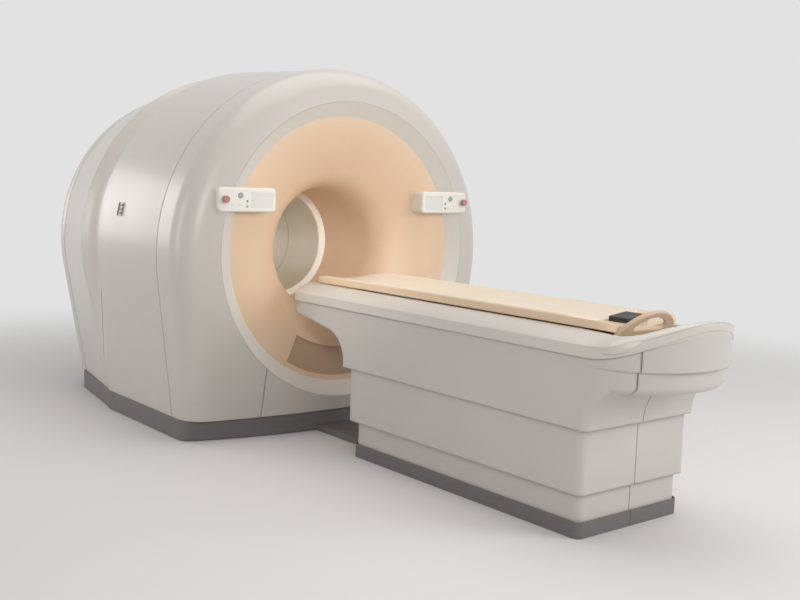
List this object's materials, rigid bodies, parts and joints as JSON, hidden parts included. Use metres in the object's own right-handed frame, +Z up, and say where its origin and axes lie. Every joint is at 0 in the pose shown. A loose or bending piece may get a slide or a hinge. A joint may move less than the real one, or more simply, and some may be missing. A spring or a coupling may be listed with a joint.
{
  "type": "pet-ct scanner",
  "caption": "Medical scanner with a rounded two-part gantry around a flared patient tunnel, and a telescoping patient table whose pallet slides into the bore.",
  "frame": {"origin": "on the floor under the CT scan plane, midway across the gantry", "axes": "+Z up, +Y from the patient table into the gantry, +X to the right facing the gantry front"},
  "size_m": [2.1575, 4.641, 2.079],
  "materials": {
    "gantry_shell": "satin",
    "trim_ring": "satin",
    "funnel": "satin",
    "bore_lining": "satin",
    "step_ring": "gloss",
    "kick_skirt": "matte",
    "inner_panel": "satin",
    "frame_steel": "satin",
    "rotor_alloy": "machined",
    "copper_track": "machined",
    "tube_steel": "brushed",
    "crystal_block": "anodised",
    "detector_steel": "brushed",
    "lead_shield": "satin",
    "rail_steel": "ground",
    "panel_shell": "satin",
    "screen_glass": "gloss",
    "lamp_lens": "gloss",
    "stop_red": "gloss",
    "key_grey": "satin",
    "table_shell": "satin",
    "deck_white": "gloss",
    "carbon_pallet": "satin",
    "pad_cover": "soft satin",
    "black_block": "matte",
    "loop_strap": "satin"
  },
  "bodies": {
    "gantry_and_table_base": {"front_cover": "gantry_shell", "front_access_panel": "gantry_shell", "ct_side_cover_left": "gantry_shell", "ct_side_cover_right": "gantry_shell", "ct_rear_panel": "inner_panel", "funnel_trim_ring": "trim_ring", "bore_funnel": "funnel", "funnel_lower_panel": "funnel", "ct_bore_liner": "funnel", "bore_step_ring": "step_ring", "ct_tunnel_liner": "bore_lining", "ct_base_tray": "frame_steel", "ct_kick_skirt": "kick_skirt", "pet_rails": "rail_steel", "ct_stator_frame": "frame_steel", "rotor_drive_motor": "frame_steel", "left_panel_housing": "panel_shell", "right_panel_housing": "panel_shell", "panel_screens": "screen_glass", "panel_lamps": "lamp_lens", "side_keypad": "key_grey", "floor_duct": "kick_skirt", "table_base_plate": "frame_steel", "table_skirt": "kick_skirt", "lower_cover": "table_shell", "lift_column_bases": "frame_steel"},
    "ct_rotor": {"rotor_drum": "rotor_alloy", "slip_ring": "copper_track", "xray_tube": "tube_steel", "beam_collimator": "tube_steel", "detector_arc": "detector_steel", "high_voltage_tanks": "tube_steel"},
    "pet_gantry": {"pet_side_cover_left": "gantry_shell", "pet_side_cover_right": "gantry_shell", "pet_front_panel": "inner_panel", "pet_rear_cover": "gantry_shell", "pet_rear_flare": "gantry_shell", "pet_tunnel_liner": "bore_lining", "pet_kick_skirt": "kick_skirt", "pet_carriage": "frame_steel", "pet_detector_modules": "crystal_block", "pet_ring_frame": "frame_steel", "pet_lead_shield": "lead_shield"},
    "lift_middle": {"lift_column_middles": "rotor_alloy", "middle_cover": "table_shell"},
    "table_top": {"lift_column_rams": "rotor_alloy", "table_chassis": "rotor_alloy", "upper_cover_left": "table_shell", "upper_cover_right": "table_shell", "foot_prow": "table_shell", "table_deck": "deck_white"},
    "patient_pallet": {"pallet": "carbon_pallet", "pallet_pad": "pad_cover", "pallet_clamp_block": "black_block", "pallet_runners": "carbon_pallet", "pallet_pull_loop": "loop_strap"},
    "left_stop": {"left_stop_button": "stop_red"},
    "right_stop": {"right_stop_button": "stop_red"},
    "left_dial": {"left_dial_key": "key_grey"},
    "right_dial": {"right_dial_key": "key_grey"}
  },
  "joints": [
    {"name": "rotor_spin", "type": "hinge", "parent": "gantry_and_table_base", "child": "ct_rotor", "pos_m": [0, 0, 1.03], "axis": [0, 1, 0], "continuous": true},
    {"name": "pet_roll_back", "type": "slide", "parent": "gantry_and_table_base", "child": "pet_gantry", "axis": [0, 1, 0], "range_m": [0, 0.3]},
    {"name": "table_lift", "type": "slide", "parent": "gantry_and_table_base", "child": "table_top", "axis": [0, 0, 1], "range_m": [-0.3, 0.05]},
    {"name": "cover_lift", "type": "slide", "parent": "gantry_and_table_base", "child": "lift_middle", "axis": [0, 0, 1], "range_m": [-0.15, 0.025]},
    {"name": "pallet_travel", "type": "slide", "parent": "table_top", "child": "patient_pallet", "axis": [0, 1, 0], "range_m": [0, 1.55]},
    {"name": "left_stop_press", "type": "slide", "parent": "gantry_and_table_base", "child": "left_stop", "axis": [0, 1, 0], "range_m": [0, 0.006], "stiffness_N_per_m": 900},
    {"name": "left_dial_press", "type": "slide", "parent": "gantry_and_table_base", "child": "left_dial", "axis": [0, 1, 0], "range_m": [0, 0.002], "stiffness_N_per_m": 900},
    {"name": "right_stop_press", "type": "slide", "parent": "gantry_and_table_base", "child": "right_stop", "axis": [0, 1, 0], "range_m": [0, 0.006], "stiffness_N_per_m": 900},
    {"name": "right_dial_press", "type": "slide", "parent": "gantry_and_table_base", "child": "right_dial", "axis": [0, 1, 0], "range_m": [0, 0.002], "stiffness_N_per_m": 900}
  ],
  "couplings": [
    {"joint": "cover_lift", "follows": "table_lift", "ratio": 0.5}
  ]
}
